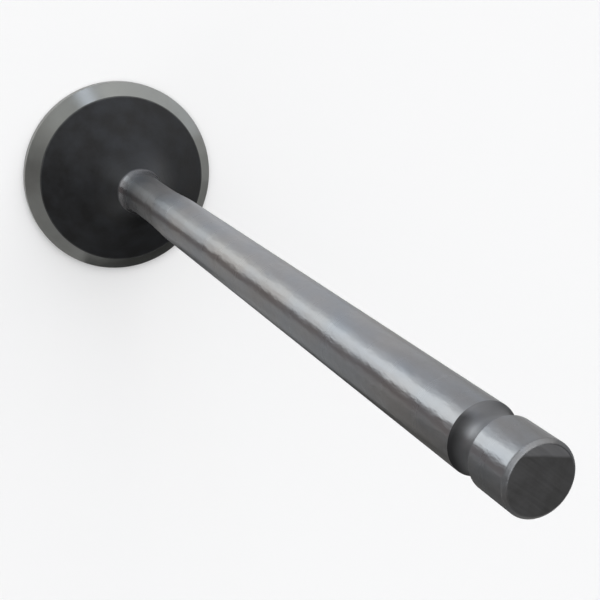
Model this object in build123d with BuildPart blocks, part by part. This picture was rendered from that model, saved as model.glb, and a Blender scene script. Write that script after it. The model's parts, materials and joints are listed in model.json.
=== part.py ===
from build123d import *
import math
import os

# Poppet valve for a piston engine, forged and turned in one piece.
# Millimetres. The valve stands on its head: the origin is the centre of the combustion face,
# +Z runs up the stem to the tip.

# ---- driving dimensions ----
overall_length = 165.0      # combustion face to tip face

# head
head_diameter = 42.0
margin_height = 2.2         # straight rim between the combustion face and the seat face
seat_angle = 45.0           # seat face, from the plane of the head
seat_width = 2.7            # seat face, measured across the radius
face_edge_break = 0.3       # 45 degree break round the combustion face

# underhead, from the inner edge of the seat face up into the stem
underhead_angle = 38.0      # cone behind the seat, from the plane of the head
underhead_radius = 18.0     # large fillet that carries the cone into the neck

# stem
stem_diameter = 8.7         # ground stretch that runs in the guide
neck_relief = 0.35          # how far the neck below the guide is turned under the stem, on radius
neck_top = 38.0             # height of the relieved neck above the combustion face
neck_taper = 8.0            # length of the run-out from the neck to the full stem

# tip
land_length = 6.5           # tip face to the near edge of the keeper groove
groove_width = 4.2          # keeper groove along the stem
groove_depth = 1.0          # keeper groove at its floor
tip_chamfer = 0.4           # 45 degree chamfer round the tip face

# ---- derived radii and heights ----
head_radius = head_diameter / 2
stem_radius = stem_diameter / 2
neck_radius = stem_radius - neck_relief

seat_height = seat_width * math.tan(math.radians(seat_angle))
seat_inner_radius = head_radius - seat_width
seat_inner_height = margin_height + seat_height

# where the straight underhead cone would meet the neck if nothing rounded the corner
cone_height = (seat_inner_radius - neck_radius) * math.tan(math.radians(underhead_angle))
cone_apex_height = seat_inner_height + cone_height

stem_start = neck_top + neck_taper
groove_top = overall_length - land_length
groove_middle = groove_top - groove_width / 2
groove_bottom = groove_top - groove_width


with BuildPart() as valve:
    # half section, drawn on the axis from the combustion face round to the tip face
    with BuildSketch(Plane.XZ):
        with BuildLine():
            # combustion face, rim and seat face
            head = Polyline(
                (0, 0),
                (head_radius - face_edge_break, 0),
                (head_radius, face_edge_break),
                (head_radius, margin_height),
                (seat_inner_radius, seat_inner_height),
            )
            # tulip: cone, large fillet and neck, tangent to each other
            underhead = FilletPolyline(
                head @ 1,
                (neck_radius, cone_apex_height),
                (neck_radius, neck_top),
                radius=underhead_radius,
            )
            # neck run-out and ground stem
            stem = Polyline(
                underhead @ 1,
                (stem_radius, stem_start),
                (stem_radius, groove_bottom),
            )
            # round-bottomed keeper groove
            groove = ThreePointArc(
                stem @ 1,
                (stem_radius - groove_depth, groove_middle),
                (stem_radius, groove_top),
            )
            # tip land, chamfer and tip face
            Polyline(
                groove @ 1,
                (stem_radius, overall_length - tip_chamfer),
                (stem_radius - tip_chamfer, overall_length),
                (0, overall_length),
                (0, 0),
            )
        make_face()
    revolve(axis=Axis.Z)

valve.part.label = "valve"

os.makedirs("parts", exist_ok=True)
export_step(valve.part, "parts/valve.step")
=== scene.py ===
import json
import math
import bpy
from mathutils import Matrix, Vector, noise

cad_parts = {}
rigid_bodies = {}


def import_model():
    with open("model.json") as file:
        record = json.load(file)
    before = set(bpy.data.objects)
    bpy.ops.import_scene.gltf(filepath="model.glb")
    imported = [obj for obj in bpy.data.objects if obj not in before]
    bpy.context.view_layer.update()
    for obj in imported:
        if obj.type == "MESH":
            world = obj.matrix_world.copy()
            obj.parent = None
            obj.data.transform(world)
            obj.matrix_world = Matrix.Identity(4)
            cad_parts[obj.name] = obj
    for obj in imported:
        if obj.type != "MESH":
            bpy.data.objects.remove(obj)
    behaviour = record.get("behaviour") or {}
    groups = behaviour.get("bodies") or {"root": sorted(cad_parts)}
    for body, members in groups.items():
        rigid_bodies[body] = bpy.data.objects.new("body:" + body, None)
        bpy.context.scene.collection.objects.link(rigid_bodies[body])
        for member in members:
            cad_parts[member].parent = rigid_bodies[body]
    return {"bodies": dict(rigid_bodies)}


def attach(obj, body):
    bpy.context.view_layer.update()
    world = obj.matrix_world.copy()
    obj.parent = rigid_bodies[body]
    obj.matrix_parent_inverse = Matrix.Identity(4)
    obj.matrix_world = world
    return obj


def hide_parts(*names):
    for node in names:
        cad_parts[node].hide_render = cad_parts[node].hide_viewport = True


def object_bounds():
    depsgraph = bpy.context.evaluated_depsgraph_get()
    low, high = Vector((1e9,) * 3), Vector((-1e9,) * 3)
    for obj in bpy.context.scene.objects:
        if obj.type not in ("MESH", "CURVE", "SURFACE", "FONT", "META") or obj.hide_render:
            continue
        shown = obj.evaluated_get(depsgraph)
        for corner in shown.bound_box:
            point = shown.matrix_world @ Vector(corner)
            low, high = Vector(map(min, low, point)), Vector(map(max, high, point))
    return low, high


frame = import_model()
cad_low, cad_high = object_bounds()

MM = 0.001

# ---- the valve's sizes, in metres: the outer ones come from the frame, the rest are the part's own ----
HEAD_RADIUS = (cad_high.y - cad_low.y) / 2
LENGTH = cad_high.z
FACE_BREAK = 0.3 * MM               # chamfer round the combustion face
MARGIN = 2.2 * MM                   # the rim is upright up to this height
SEAT_WIDTH = 2.7 * MM               # of the seat face, measured towards the axis
SEAT_ANGLE = math.radians(45)
UNDERHEAD_ANGLE = math.radians(38)
UNDERHEAD_FILLET = 18.0 * MM
STEM_RADIUS = 4.35 * MM
NECK_RADIUS = 4.0 * MM
NECK_TOP = 38.0 * MM
NECK_TAPER = 8.0 * MM               # over this height the neck widens to the stem
LAND = 6.5 * MM                     # from the keeper groove to the tip
GROOVE_WIDTH = 4.2 * MM
GROOVE_DEPTH = 1.0 * MM
TIP_CHAMFER = 0.4 * MM

SEAT_INNER_RADIUS = HEAD_RADIUS - SEAT_WIDTH
SEAT_INNER_HEIGHT = MARGIN + SEAT_WIDTH * math.tan(SEAT_ANGLE)
CONE_APEX = SEAT_INNER_HEIGHT + (SEAT_INNER_RADIUS - NECK_RADIUS) * math.tan(UNDERHEAD_ANGLE)
GROOVE_TOP = LENGTH - LAND
GROOVE_BOTTOM = GROOVE_TOP - GROOVE_WIDTH
TIP_LAND_TOP = LENGTH - TIP_CHAMFER
FORGED_TOP = 19.0 * MM              # the black forging ends here and the ground neck begins

# ---- how finely the turned mesh is cut ----
SEGMENTS = 192
ARC_STEP = 0.4 * MM
ARC_TURN = math.radians(12)
SUPPORT = 0.08 * MM                 # ring beside each rounded edge, which keeps flats flat
SUPPORT_ROOM = 3 * SUPPORT          # the room that a flat needs beside a rounding to get such a ring
FINE_EDGE = 0.10 * MM               # rounding of an edge left by turning
SOFT_EDGE = 0.25 * MM               # rounding of an edge broken by hand
NECK_BLEND = 160.0 * MM             # the neck's taper runs out in arcs this slight
GROOVE_STEPS = 30
STEM_CHARTS = 5                     # pieces that the stem is parted into on the bake's map
CHART_SPAN = (TIP_LAND_TOP - FORGED_TOP) / STEM_CHARTS


# ------------------------------------------------------------------ mesh
def groove_points():
    """The round floor of the keeper groove, from its lower edge to its upper edge."""
    half = GROOVE_WIDTH / 2
    radius = (half * half + GROOVE_DEPTH * GROOVE_DEPTH) / (2 * GROOVE_DEPTH)
    centre = STEM_RADIUS - GROOVE_DEPTH + radius
    reach = math.asin(half / radius)
    points = []
    for step in range(GROOVE_STEPS + 1):
        angle = reach * (2 * step / GROOVE_STEPS - 1)
        points.append((centre - radius * math.cos(angle), GROOVE_TOP - half + radius * math.sin(angle), 0))
    return points


def corners():
    """The half section's corners as (radius, height, rounding), from the combustion face to the tip."""
    groove = groove_points()
    groove[0] = (*groove[0][:2], FINE_EDGE)
    groove[-1] = (*groove[-1][:2], FINE_EDGE)
    return [
        (0, 0, 0),
        (HEAD_RADIUS - FACE_BREAK, 0, FINE_EDGE),
        (HEAD_RADIUS, FACE_BREAK, FINE_EDGE),
        (HEAD_RADIUS, MARGIN, FINE_EDGE),
        (SEAT_INNER_RADIUS, SEAT_INNER_HEIGHT, FINE_EDGE),
        (NECK_RADIUS, CONE_APEX, UNDERHEAD_FILLET),
        (NECK_RADIUS, NECK_TOP, NECK_BLEND),
        (STEM_RADIUS, NECK_TOP + NECK_TAPER, NECK_BLEND),
        *groove,
        (STEM_RADIUS, TIP_LAND_TOP, SOFT_EDGE),
        (STEM_RADIUS - TIP_CHAMFER, LENGTH, SOFT_EDGE),
        (0, LENGTH, 0),
    ]


def rounded(outline):
    """The outline's points, with an arc and two support points at each corner that has a rounding."""
    points = [Vector(outline[0][:2])]
    for before, corner, after in zip(outline, outline[1:], outline[2:]):
        here = Vector(corner[:2])
        if not corner[2]:
            points.append(here)
            continue
        back = (Vector(before[:2]) - here).normalized()
        on = (Vector(after[:2]) - here).normalized()
        half = back.angle(on) / 2
        turn = math.pi - 2 * half
        reach = corner[2] / math.tan(half)
        centre = here + (back + on).normalized() * corner[2] / math.sin(half)
        steps = max(math.ceil(turn / ARC_TURN), math.ceil(corner[2] * turn / ARC_STEP))
        start = here + back * reach - centre
        sign = 1 if back.x * on.y - back.y * on.x < 0 else -1
        if (Vector(before[:2]) - here).length > reach + SUPPORT_ROOM:
            points.append(here + back * (reach + SUPPORT))
        for step in range(steps + 1):
            spun = Matrix.Rotation(sign * turn * step / steps, 2) @ start
            points.append(centre + spun)
        if (Vector(after[:2]) - here).length > reach + SUPPORT_ROOM:
            points.append(here + on * (reach + SUPPORT))
    points.append(Vector(outline[-1][:2]))
    return points


def cut_at(points, height):
    """The points with one more where the outline passes a height above the head's rim."""
    for index in range(1, len(points)):
        low, high = points[index - 1], points[index]
        if low.y < height < high.y:
            share = (height - low.y) / (high.y - low.y)
            return points[:index] + [low.lerp(high, share)] + points[index:]
    return points


def chart_starts():
    """Heights at which the stem's charts begin."""
    return [FORGED_TOP + CHART_SPAN * index for index in range(STEM_CHARTS)]


# Where each surface lies on the bake's map: discs by centre and radius, strips by corner and size.
FACE_DISC = (0.17, 0.17, 0.165)
UPPER_DISC = (0.51, 0.17, 0.165)
TIP_DISC = (0.75, 0.05, 0.045)
MARGIN_STRIP = (0.005, 0.345, 0.99, 0.02)
STEM_STRIP = (0.005, 0.375, 0.19, 0.62)
STEM_PITCH = 0.2                    # from one chart of the stem to the next


def on_disc(disc, full, radius, angle):
    """A place on a disc of the map, for a ring of a radius on a surface that reaches to the full radius."""
    reach = disc[2] * radius / full
    return disc[0] + reach * math.cos(angle), disc[1] + reach * math.sin(angle)


def place_on_map(middle, ring, turn):
    """Map place of a ring's point at a share of a turn, for the band whose middle height is given."""
    radius, height = ring
    angle = turn * math.tau
    if middle < FACE_BREAK:
        return on_disc(FACE_DISC, HEAD_RADIUS, radius, angle)
    if middle < MARGIN:
        left, low, width, tall = MARGIN_STRIP
        return left + turn * width, low + tall * (height - FACE_BREAK) / (MARGIN - FACE_BREAK)
    if middle < FORGED_TOP:
        return on_disc(UPPER_DISC, HEAD_RADIUS, radius, angle)
    if middle < TIP_LAND_TOP:
        left, low, width, tall = STEM_STRIP
        chart = int((middle - FORGED_TOP) / CHART_SPAN)
        share = (height - FORGED_TOP) / CHART_SPAN - chart
        return left + STEM_PITCH * chart + turn * width, low + tall * share
    return on_disc(TIP_DISC, STEM_RADIUS, radius, angle)


HEAD, SKIN, STEM, GROOVE, TIP = range(5)    # the valve's surfaces, in the order of FINISHES


def surface_of(radius, height):
    """Which surface a band belongs to, by its middle."""
    if height < SEAT_INNER_HEIGHT:
        return HEAD
    if height < FORGED_TOP:
        return SKIN
    if GROOVE_BOTTOM < height < GROOVE_TOP:
        return GROOVE
    if radius > STEM_RADIUS - TIP_CHAMFER - FINE_EDGE:
        return STEM
    return TIP


FORGING_WAVE = 0.05 * MM            # how far the forged surface wanders
FORGING_PITCH = 7.0 * MM
FORGING_FADE = 8                    # it fades out over an eighth of the skin at either edge


def forging_offset(point):
    """How far the forged skin stands off its true form, nothing at its machined edges."""
    if not SEAT_INNER_HEIGHT < point.z < FORGED_TOP:
        return 0.0
    share = (point.z - SEAT_INNER_HEIGHT) / (FORGED_TOP - SEAT_INNER_HEIGHT)
    fade = min(1.0, FORGING_FADE * share, FORGING_FADE * (1 - share))
    return FORGING_WAVE * fade * noise.noise(point / FORGING_PITCH)


def outline_rings():
    """The half section as (radius, height) pairs, from the middle of the combustion face to the tip's."""
    points = rounded(corners())
    for height in chart_starts():
        points = cut_at(points, height)
    return [(p.x, p.y) for p in points]


def valve_vertices(rings):
    """The vertices: the middle of the combustion face, one ring after another, and the tip's middle."""
    vertices = [(0, 0, 0)]
    for radius, height in rings[1:-1]:
        for segment in range(SEGMENTS):
            angle = segment / SEGMENTS * math.tau
            point = Vector((radius * math.cos(angle), radius * math.sin(angle), height))
            point.z += forging_offset(point)
            vertices.append(point)
    vertices.append((0, 0, LENGTH))
    return vertices


def band_face(rings, band, segment):
    """One face of the band above a ring: (vertex, ring, share of a turn) for each of its corners."""
    lower, upper = rings[band], rings[band + 1]
    here, there = segment / SEGMENTS, (segment + 1) / SEGMENTS
    following = (segment + 1) % SEGMENTS
    low_first = 1 + (band - 1) * SEGMENTS
    high_first = low_first + SEGMENTS
    low_side = [(low_first + segment, lower, here), (low_first + following, lower, there)]
    high_side = [(high_first + following, upper, there), (high_first + segment, upper, here)]
    if band == 0:
        return [(0, lower, (here + there) / 2), *high_side]
    if band == len(rings) - 2:
        return [*low_side, (high_first, upper, here)]
    return low_side + high_side


def turned_valve():
    """The whole valve as one turned mesh, closed at both ends."""
    rings = outline_rings()
    faces, places, surfaces = [], [], []
    for band, (lower, upper) in enumerate(zip(rings, rings[1:])):
        middle = (lower[1] + upper[1]) / 2
        surface = surface_of((lower[0] + upper[0]) / 2, middle)
        for segment in range(SEGMENTS):
            face = band_face(rings, band, segment)
            faces.append([vertex for vertex, _, _ in face])
            places += [place_on_map(middle, ring, turn) for _, ring, turn in face]
            surfaces.append(surface)
    mesh = bpy.data.meshes.new("turned_valve")
    mesh.from_pydata(valve_vertices(rings), [], faces)
    mesh.polygons.foreach_set("material_index", surfaces)
    mesh.shade_smooth()
    layer = mesh.uv_layers.new(name="OFBake")
    layer.uv.foreach_set("vector", [value for place in places for value in place])
    mesh.validate()
    mesh.update()
    piece = bpy.data.objects.new("valve_turned", mesh)
    bpy.context.scene.collection.objects.link(piece)
    return piece


# ------------------------------------------------------------------ materials
def rgb(red, green, blue):
    """A colour in linear shares of full light."""
    return (red, green, blue, 1.0)


def grey(shade):
    """A colour without a tint."""
    return rgb(shade, shade, shade)


def direction(azimuth, elevation):
    """Unit vector from the valve: azimuth from +X towards +Y, elevation above the floor, in degrees."""
    a, e = math.radians(azimuth), math.radians(elevation)
    return Vector((math.cos(a) * math.cos(e), math.sin(a) * math.cos(e), math.sin(e)))


NOISE_LOW, NOISE_HIGH = 0.3, 0.7    # most of a noise lies between these
MIX_SHARE, MIX_FIRST, MIX_SECOND = 0, 6, 7      # inputs of a Mix node that mixes colours
MIX_RESULT = 2                      # and its output


class Nodes:
    """Builds the nodes of a material or a world. An input given a socket is linked to it, or else set."""

    def __init__(self, owner, shader="Principled BSDF"):
        owner.use_nodes = True
        self.owner = owner
        self.tree = owner.node_tree
        self.shader = self.tree.nodes[shader]

    def fill(self, node, inputs):
        """Links or sets a node's inputs."""
        for name, value in inputs.items():
            if isinstance(value, bpy.types.NodeSocket):
                self.tree.links.new(value, node.inputs[name])
            else:
                node.inputs[name].default_value = value

    def add(self, kind, inputs, **settings):
        """A new node with its settings and inputs."""
        node = self.tree.nodes.new(kind)
        for name, value in settings.items():
            setattr(node, name, value)
        self.fill(node, inputs)
        return node

    def maths(self, operation, first, second):
        """What a Math node makes of two numbers."""
        return self.add("ShaderNodeMath", {0: first, 1: second}, operation=operation).outputs[0]

    def dot(self, vector, way):
        """How far a vector reaches along a way."""
        return self.add("ShaderNodeVectorMath", {0: vector, 1: way}, operation="DOT_PRODUCT").outputs["Value"]

    def place(self, scale):
        """Object coordinates, stretched along X, Y and Z."""
        coordinates = self.add("ShaderNodeTexCoord", {})
        mapping = self.add("ShaderNodeMapping", {"Vector": coordinates.outputs["Object"], "Scale": scale})
        return mapping.outputs["Vector"]

    def height(self):
        """Height above the valve's combustion face."""
        return self.add("ShaderNodeSeparateXYZ", {"Vector": self.place((1, 1, 1))}).outputs["Z"]

    def radius(self):
        """Distance from the valve's axis."""
        across = self.place((1, 1, 0))
        return self.add("ShaderNodeVectorMath", {0: across}, operation="LENGTH").outputs["Value"]

    def towards(self, azimuth):
        """Distance from the valve's axis towards an azimuth, less than nothing on the far side."""
        return self.dot(self.place((1, 1, 1)), direction(azimuth, 0))

    def noise_at(self, vector, detail=2.0, roughness=0.5, distortion=0.0):
        """Noise from 0 to 1 at a place whose unit is about one patch."""
        inputs = {"Vector": vector, "Scale": 1.0, "Detail": detail,
                  "Roughness": roughness, "Distortion": distortion}
        return self.add("ShaderNodeTexNoise", inputs).outputs["Fac"]

    def noise(self, scale, **settings):
        """Noise with about this many patches to a metre along X, Y and Z."""
        return self.noise_at(self.place(scale), **settings)

    def turning_marks(self, per_metre):
        """Noise in rings: one after another along the axis on a rim, and outwards on a flat face."""
        travel = self.maths("SUBTRACT", self.height(), self.radius())
        rise = self.add("ShaderNodeCombineXYZ", {"Z": self.maths("MULTIPLY", travel, per_metre)})
        inputs = {0: self.place((60, 60, 0)), 1: rise.outputs["Vector"]}
        vector = self.add("ShaderNodeVectorMath", inputs, operation="ADD").outputs["Vector"]
        return self.noise_at(vector, roughness=0.6)

    def span(self, value, low, high, from_low=0.0, from_high=1.0):
        """From low to high as the value goes from from_low to from_high, and level beyond them."""
        inputs = {"Value": value, "From Min": from_low, "From Max": from_high, "To Min": low, "To Max": high}
        return self.add("ShaderNodeMapRange", inputs).outputs["Result"]

    def patches(self, value, start, full, most=1):
        """Share of a second colour: none where the value is below start, and the most above full."""
        return self.span(value, 0, most, start, full)

    def vary(self, value, low, high):
        """A number that goes from low to high with the noise."""
        return self.span(value, low, high, NOISE_LOW, NOISE_HIGH)

    def mix(self, share, first, second):
        """The first colour, with a share of the second in its place."""
        node = self.tree.nodes.new("ShaderNodeMix")
        node.data_type = "RGBA"
        self.fill(node, {MIX_SHARE: share, MIX_FIRST: first, MIX_SECOND: second})
        return node.outputs[MIX_RESULT]

    def bump(self, height, distance, normal=None):
        """A surface that rises by the distance where the height is 1, over another such surface."""
        inputs = {"Height": height, "Distance": distance, "Strength": 1.0}
        if normal:
            inputs["Normal"] = normal
        return self.add("ShaderNodeBump", inputs).outputs["Normal"]

    def radial_tangent(self):
        """The way round the valve's axis, which the tools' marks follow."""
        return self.add("ShaderNodeTangent", {}, direction_type="RADIAL", axis="Z").outputs["Tangent"]

    def surface(self, inputs):
        """Fills the shader's inputs and gives back the finished material or world."""
        self.fill(self.shader, inputs)
        return self.owner


def new_material(name):
    """The nodes of a new material."""
    return Nodes(bpy.data.materials.new(name))


ACROSS_GRAIN = 0.25                 # a quarter turn: the marks run round the valve, so gloss spreads along it

STEM_COOL = rgb(0.186, 0.195, 0.207)
STEM_WARM = rgb(0.209, 0.201, 0.194)
STEM_STAIN = rgb(0.165, 0.155, 0.148)
# Painted shade on the neck's foot, under the head.
STEM_FOOT_SHADE = rgb(0.152, 0.151, 0.155)
STEM_EDGE_TINT = grey(0.70)         # satin steel brightens less than a mirror at grazing angles
STEM_ROUGH = (0.26, 0.32)
BAND_SHARE = 0.4                    # of the broad bands in what varies it, beside the fine rings
FOOT_ROUGH = grey(0.17)
FOOT_HEIGHT = 5.0 * MM                # the neck's foot reaches this far up: darkened with painted shade, and smoother
DULLED_ROUGH = grey(0.43)           # of the tip's rounded edge
DULLED_BELOW = 0.15 * MM            # it starts this far below the chamfer
GRIND_DEPTH = 0.0006 * MM           # of the rings left by the grinding wheel
NECK_GRIND = 0.25                   # share of that depth on the neck
WANDER_DEPTH = 0.14 * MM            # slow waves, which make the gloss's edges wander
RIPPLE_DEPTH = 0.04 * MM            # and quick ones, which make them fray
NECK_SKIN = rgb(0.024, 0.025, 0.028)
NECK_SKIN_ROUGH = grey(0.56)
SKIN_WHOLE = 0.1 * MM               # the forging's skin reaches whole this far up the neck
SKIN_GONE = 0.9 * MM                # and has worn off at this height
SKIN_RAGGED = 0.3 * MM              # its edge lies up to this much higher or lower


def ground_steel():
    """Centreless ground stem: fine rings round it, faint stains and a satin gloss that runs along it."""
    n = new_material("ground_steel")
    rings = n.noise((60, 60, 5200), detail=3.0, roughness=0.65)
    bands = n.noise((25, 25, 420))
    stain = n.noise((210, 210, 34), detail=3.0, roughness=0.6, distortion=0.4)
    tint = n.noise((120, 120, 60))
    wander = n.noise((330, 330, 130))
    ripple = n.noise((1300, 1300, 480), roughness=0.6)
    height = n.height()
    neck_foot = n.span(height, 1, 0, FORGED_TOP, FORGED_TOP + FOOT_HEIGHT)
    ragged = n.maths("ADD", height, n.span(stain, -SKIN_RAGGED, SKIN_RAGGED))
    skin = n.span(ragged, 1, 0, FORGED_TOP + SKIN_WHOLE, FORGED_TOP + SKIN_GONE)
    dulled = n.span(height, 0, 1, TIP_LAND_TOP - DULLED_BELOW, TIP_LAND_TOP)

    plain = n.mix(n.patches(tint, 0.35, 0.65), STEM_COOL, STEM_WARM)
    stained = n.mix(n.patches(stain, 0.52, 0.72, 0.55), plain, STEM_STAIN)
    # painted shade darkens the neck's foot under the head
    foot_shaded = n.mix(neck_foot, stained, STEM_FOOT_SHADE)
    rough = n.mix(neck_foot, n.vary(n.mix(BAND_SHARE, rings, bands), *STEM_ROUGH), FOOT_ROUGH)
    rough = n.mix(dulled, rough, DULLED_ROUGH)
    grind = n.maths("MULTIPLY", rings, n.span(height, NECK_GRIND, 1, NECK_TOP, NECK_TOP + NECK_TAPER))
    relief = n.bump(wander, WANDER_DEPTH, n.bump(ripple, RIPPLE_DEPTH, n.bump(grind, GRIND_DEPTH)))
    return n.surface({
        "Base Color": n.mix(skin, foot_shaded, NECK_SKIN), "Metallic": n.span(skin, 1.0, 0.7),
        "Roughness": n.mix(skin, rough, NECK_SKIN_ROUGH), "Normal": relief,
        "Anisotropic": 0.7, "Anisotropic Rotation": ACROSS_GRAIN, "Tangent": n.radial_tangent(),
        "Specular Tint": STEM_EDGE_TINT,
    })


TOOL_MARKS = 2400                   # rings to a metre
TOOL_ROUGH_RANGE = 0.06             # they vary the roughness by this much


def turned_steel(name, bright, stained, roughest, depth):
    """A turned surface: the tool's fine rings, a satin gloss and a faint stain.

    Gives its nodes and its colour, which a caller may cover with more.
    """
    n = new_material(name)
    rings = n.turning_marks(TOOL_MARKS)
    stain = n.noise((160, 160, 160), detail=3.0, roughness=0.6)
    colour = n.mix(n.patches(stain, 0.45, 0.7, 0.6), bright, stained)
    rough = n.vary(rings, roughest - TOOL_ROUGH_RANGE, roughest)
    n.surface({
        "Base Color": colour, "Metallic": 1.0, "Roughness": rough, "Normal": n.bump(rings, depth),
        "Anisotropic": 0.6, "Anisotropic Rotation": ACROSS_GRAIN, "Tangent": n.radial_tangent(),
    })
    return n, colour


HEAD_BRIGHT = rgb(0.222, 0.227, 0.216)
HEAD_STAIN = rgb(0.188, 0.188, 0.177)
HEAD_ROUGHEST = 0.34
HEAD_MARK_DEPTH = 0.0005 * MM


def machined_head():
    """Seat face, rim and combustion face."""
    return turned_steel("machined_head", HEAD_BRIGHT, HEAD_STAIN, HEAD_ROUGHEST, HEAD_MARK_DEPTH)[0].owner


GROOVE_BRIGHT = rgb(0.172, 0.175, 0.182)
GROOVE_STAIN = rgb(0.140, 0.140, 0.142)
GROOVE_ROUGHEST = 0.50
GROOVE_MARK_DEPTH = 0.002 * MM
# Painted shade in the groove's lower corner, less of it on the side towards the light.
GROOVE_SHADE = rgb(0.035, 0.035, 0.036)
SHADE_MOST, SHADE_LEAST = 0.9, 0.35     # share of the metal that the painted shade hides, round the groove and on the lit side
SHADE_FULL = 0.3 * MM                # it is darkest up to this height in the groove
SHADE_TOP = GROOVE_WIDTH * 0.45       # and ends at this one
LIT_SIDE = 212                    # azimuth towards which the painted shade in the groove is lighter, in degrees
LIT_FROM = 0.62 * STEM_RADIUS     # the lighter side begins this far out towards that azimuth
LIT_FULL = 0.79 * STEM_RADIUS     # and is at its lightest here


def turned_groove():
    """Keeper groove: duller than the ground stem beside it, with painted shade darkening its lower corner."""
    n, colour = turned_steel("turned_groove", GROOVE_BRIGHT, GROOVE_STAIN, GROOVE_ROUGHEST, GROOVE_MARK_DEPTH)
    most = n.span(n.towards(LIT_SIDE), SHADE_MOST, SHADE_LEAST, LIT_FROM, LIT_FULL)
    # painted shade darkens the groove's lower corner
    corner_shade = n.span(n.height(), most, 0, GROOVE_BOTTOM + SHADE_FULL, GROOVE_BOTTOM + SHADE_TOP)
    return n.surface({"Base Color": n.mix(corner_shade, colour, GROOVE_SHADE)})


FORGED_DARK = rgb(0.0125, 0.0125, 0.0130)
FORGED_PALE = rgb(0.023, 0.0245, 0.0275)
FORGED_ROUGH = (0.50, 0.62)
BARE_METAL = rgb(0.150, 0.152, 0.146)
BARE_EDGE = 0.35 * MM               # the forging's skin thins out over this width beside the seat face
MOTTLE_DEPTH = 0.06 * MM
TOOTH_DEPTH = 0.01 * MM


def forged_skin():
    """Underhead: the black skin left by forging, matt, with a fine tooth and a faint mottle."""
    n = new_material("forged_skin")
    tooth = n.noise((2600, 2600, 2600), detail=3.0, roughness=0.6)
    mottle = n.noise((230, 230, 230), detail=3.0, roughness=0.55)
    black = n.mix(n.patches(mottle, 0.35, 0.7), FORGED_DARK, FORGED_PALE)
    ragged = n.maths("ADD", n.radius(), n.span(mottle, -BARE_EDGE / 3, BARE_EDGE / 3))
    bare = n.patches(ragged, SEAT_INNER_RADIUS - BARE_EDGE, SEAT_INNER_RADIUS, 0.5)
    return n.surface({
        "Base Color": n.mix(bare, black, BARE_METAL), "Metallic": 0.7,
        "Roughness": n.vary(mottle, *FORGED_ROUGH),
        "Normal": n.bump(mottle, MOTTLE_DEPTH, n.bump(tooth, TOOTH_DEPTH)),
    })


TIP_PALE = grey(0.164)
TIP_DARK = rgb(0.128, 0.127, 0.124)
TIP_ROUGH = (0.34, 0.42)
TIP_GRIND_DEPTH = 0.003 * MM
TIP_WORN = rgb(0.300, 0.300, 0.306)
WORN_SIDE = 208                     # azimuth of the lighter, rubbed part of the tip face, in degrees
WORN_FROM = 2.45 * MM               # it begins this far out towards that azimuth
WORN_FADE = 0.3 * MM                # and is plain to see from this much further
WORN_RAGGED = 0.2 * MM              # its edge lies up to this much further in or out


def tip_face_steel():
    """Tip face: ground flat, darker than the stem from its hardening, and rubbed lighter along one side."""
    n = new_material("tip_face_steel")
    lines = n.noise((4200, 120, 120), roughness=0.6)
    mottle = n.noise((420, 420, 420), detail=3.0, roughness=0.6)
    dark = n.mix(n.patches(mottle, 0.35, 0.7), TIP_PALE, TIP_DARK)
    ragged = n.maths("ADD", n.towards(WORN_SIDE), n.span(mottle, -WORN_RAGGED, WORN_RAGGED))
    worn = n.patches(ragged, WORN_FROM, WORN_FROM + WORN_FADE)
    return n.surface({
        "Base Color": n.mix(worn, dark, TIP_WORN), "Metallic": 1.0,
        "Roughness": n.vary(lines, *TIP_ROUGH), "Normal": n.bump(lines, TIP_GRIND_DEPTH),
    })


FINISHES = (machined_head, forged_skin, ground_steel, turned_groove, tip_face_steel)


# ------------------------------------------------------------------ studio
WHITE = grey(1.0)
DAYLIGHT = rgb(0.90, 1.00, 1.24)
FLOOR_RADIUS = 2.0
FLOOR_CORNERS = 64
FLOOR_COLOUR = grey(0.92)
WINDOW_SIDE = (-0.92, -0.39, 0.0)   # the pale wall of the room stands on this side
# How pale the walls are, by the angle from that side in degrees: a dim wall opposite, a lighter stretch,
# a dark corner and the pale wall.
WALLS = ((180, 0.26), (160, 0.36), (143, 0.54), (125, 0.54), (106, 0.36), (88, 0.22), (67, 0.74), (40, 0.83),
         (0, 0.83))
CEILING = rgb(0.20, 0.20, 0.205)
WALL_TOP = math.sin(math.radians(12))       # the walls pass into the ceiling between these elevations
CEILING_FROM = math.sin(math.radians(34))


def pale_floor():
    """A plain round floor under the valve."""
    mesh = bpy.data.meshes.new("floor")
    turns = [corner / FLOOR_CORNERS * math.tau for corner in range(FLOOR_CORNERS)]
    rim = [(FLOOR_RADIUS * math.cos(turn), FLOOR_RADIUS * math.sin(turn), 0) for turn in turns]
    mesh.from_pydata(rim, [], [list(range(FLOOR_CORNERS))])
    floor = bpy.data.objects.new("floor", mesh)
    bpy.context.scene.collection.objects.link(floor)
    paper = new_material("floor_paper")
    mesh.materials.append(paper.surface({
        "Base Color": FLOOR_COLOUR, "Roughness": 0.9, "Specular IOR Level": 0.0,
    }))


def room():
    """A dim ceiling over walls that are pale on the window side."""
    world = bpy.data.worlds.new("room")
    bpy.context.scene.world = world
    n = Nodes(world, "Background")
    way = n.add("ShaderNodeTexCoord", {}).outputs["Generated"]
    walls = n.add("ShaderNodeValToRGB", {"Fac": n.span(n.dot(way, WINDOW_SIDE), 0, 1, -1, 1)})
    stops = walls.color_ramp.elements
    stops[0].color = grey(WALLS[0][1])
    stops[1].color = grey(WALLS[-1][1])
    for angle, shade in WALLS[1:-1]:
        stops.new((1 + math.cos(math.radians(angle))) / 2).color = grey(shade)
    rise = n.add("ShaderNodeSeparateXYZ", {0: way}).outputs["Z"]
    inputs = {"Value": rise, "From Min": WALL_TOP, "From Max": CEILING_FROM}
    upwards = n.add("ShaderNodeMapRange", inputs, interpolation_type="SMOOTHSTEP").outputs["Result"]
    n.surface({"Color": n.mix(upwards, walls.outputs["Color"], CEILING)})


LAMP_DISTANCE = 24.0                # far off, so that the floor is lit evenly
LIT_HEIGHT = 50.0 * MM              # the softboxes aim at this height on the valve


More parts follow.
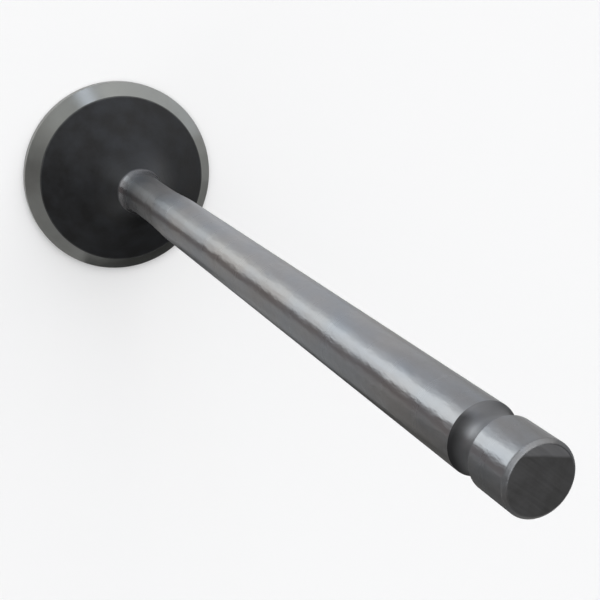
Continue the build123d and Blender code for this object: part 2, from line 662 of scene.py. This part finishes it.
def softbox(name, azimuth, elevation, width, height, colour, radiance):
    """A lamp aimed at the valve, unseen by the camera.

    It stands at an azimuth and elevation in degrees, and its width and height are shares of its distance.
    A radiance of 1 is that of a white surface in full light.
    """
    way = direction(azimuth, elevation)
    lamp = bpy.data.lights.new(name, "AREA")
    lamp.color = colour[:3]
    lamp.shape = "RECTANGLE"
    lamp.size, lamp.size_y = width * LAMP_DISTANCE, height * LAMP_DISTANCE
    lamp.energy = radiance * math.pi * lamp.size * lamp.size_y
    holder = bpy.data.objects.new(name, lamp)
    holder.location = way * LAMP_DISTANCE + Vector((0, 0, LIT_HEIGHT))
    holder.rotation_mode = "QUATERNION"
    holder.rotation_quaternion = way.to_track_quat("Z", "Y")
    holder.visible_camera = False
    bpy.context.scene.collection.objects.link(holder)


CARD_LIFT = 0.5 * MM                # above the floor
CARD_STEP = 5.0                     # degrees between the corners of a card's round edges


def painted_reflection(name, first, last, near, far, colour, radiance):
    """A painted reflection: a sheet on the floor round the valve that shows only in the metal's gloss, as
    painted light where it glows and painted shade where it is dark.

    It lies between two azimuths in degrees, and between two distances from the axis in metres.
    """
    steps = max(1, round((last - first) / CARD_STEP))
    lift = Vector((0, 0, CARD_LIFT))
    corners = []
    for step in range(steps + 1):
        way = direction(first + (last - first) * step / steps, 0)
        corners += [way * near + lift, way * far + lift]
    faces = [(2 * i, 2 * i + 1, 2 * i + 3, 2 * i + 2) for i in range(steps)]
    mesh = bpy.data.meshes.new(name)
    mesh.from_pydata(corners, [], faces)
    card = bpy.data.objects.new(name, mesh)
    bpy.context.scene.collection.objects.link(card)
    mesh.materials.append(new_material(name).surface({
        "Base Color": grey(0), "Specular IOR Level": 0.0,
        "Emission Color": colour, "Emission Strength": radiance,
    }))
    card.visible_camera = False
    card.visible_diffuse = False
    card.visible_transmission = False
    card.visible_shadow = False


def lamps():
    """A broad key light, a top light, and a slit of daylight that glints on the seat face."""
    softbox("key", 190, 30, 1.07, 0.67, WHITE, 1.4)
    softbox("top", 250, 70, 1.2, 1.2, WHITE, 2.2)
    softbox("slit", 231, 11, 0.19, 0.37, DAYLIGHT, 2.25)


def painted_reflections():
    """Painted reflections round the valve, seen only in the metal's gloss: a bright strip and a glow of
    painted light, and a dim gap and shaded parts of painted shade.
    """
    painted_reflection("strip", 252, 274, 0.026, 0.09, rgb(0.96, 1.00, 1.02), 2.75)
    painted_reflection("strip_near", 274, 296, 0.026, 0.09, WHITE, 1.95)
    painted_reflection("strip_far", 252, 290, 0.09, 0.5, rgb(0.97, 1.00, 1.01), 3.3)
    painted_reflection("strip_edge", 236, 252, 0.028, 0.5, rgb(0.96, 1.00, 1.03), 2.0)
    painted_reflection("glow", 148, 236, 0.026, 0.13, rgb(0.97, 1.00, 1.06), 1.6)
    painted_reflection("shade_gap", 298, 320, 0.023, 0.5, rgb(1.10, 0.97, 0.96), 0.42)
    painted_reflection("shade_near", 18, 102, 0.0235, 0.042, WHITE, 0.0)
    painted_reflection("shade_half", 102, 120, 0.0235, 0.036, WHITE, 0.4)
    painted_reflection("shade_edge", 120, 138, 0.0235, 0.036, WHITE, 0.65)
    painted_reflection("shade_side", 46, 100, 0.042, 0.11, WHITE, 0.0)
    painted_reflection("shade_rim", 36, 46, 0.042, 0.11, WHITE, 0.35)
    painted_reflection("shade_far", 324, 420, 0.11, 0.5, WHITE, 0.3)
    painted_reflection("shade_back", 60, 110, 0.11, 0.5, WHITE, 0.08)


# ------------------------------------------------------------------ camera
CAMERA_AT = Vector((0, -79.19, 248.17)) * MM
CAMERA_AIM = Vector((-1.39, 56.81, 0)) * MM
CAMERA_ROLL = math.radians(125.31)
CAMERA_LENS = 68.08                 # in millimetres, as is the sensor's width
CAMERA_SENSOR = 36
CAMERA_NEAR = 5.0 * MM              # nothing closer than this is seen


def camera():
    """Close above the tip, looking down the stem, rolled so that the head lies to the upper left."""
    data = bpy.data.cameras.new("camera")
    data.sensor_width = CAMERA_SENSOR
    data.lens = CAMERA_LENS
    data.clip_start = CAMERA_NEAR
    holder = bpy.data.objects.new("camera", data)
    bpy.context.scene.collection.objects.link(holder)
    look = (CAMERA_AIM - CAMERA_AT).to_track_quat("-Z", "Y").to_matrix()
    roll = Matrix.Rotation(CAMERA_ROLL, 3, "Z")
    holder.matrix_world = Matrix.LocRotScale(CAMERA_AT, (look @ roll).to_quaternion(), None)
    bpy.context.scene.camera = holder


# ------------------------------------------------------------------ the scene
valve = turned_valve()
for make in FINISHES:
    valve.data.materials.append(make())
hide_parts("valve")
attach(valve, list(frame["bodies"])[0])

pale_floor()
room()
lamps()
painted_reflections()
camera()

bpy.context.scene.view_settings.view_transform = "Standard"
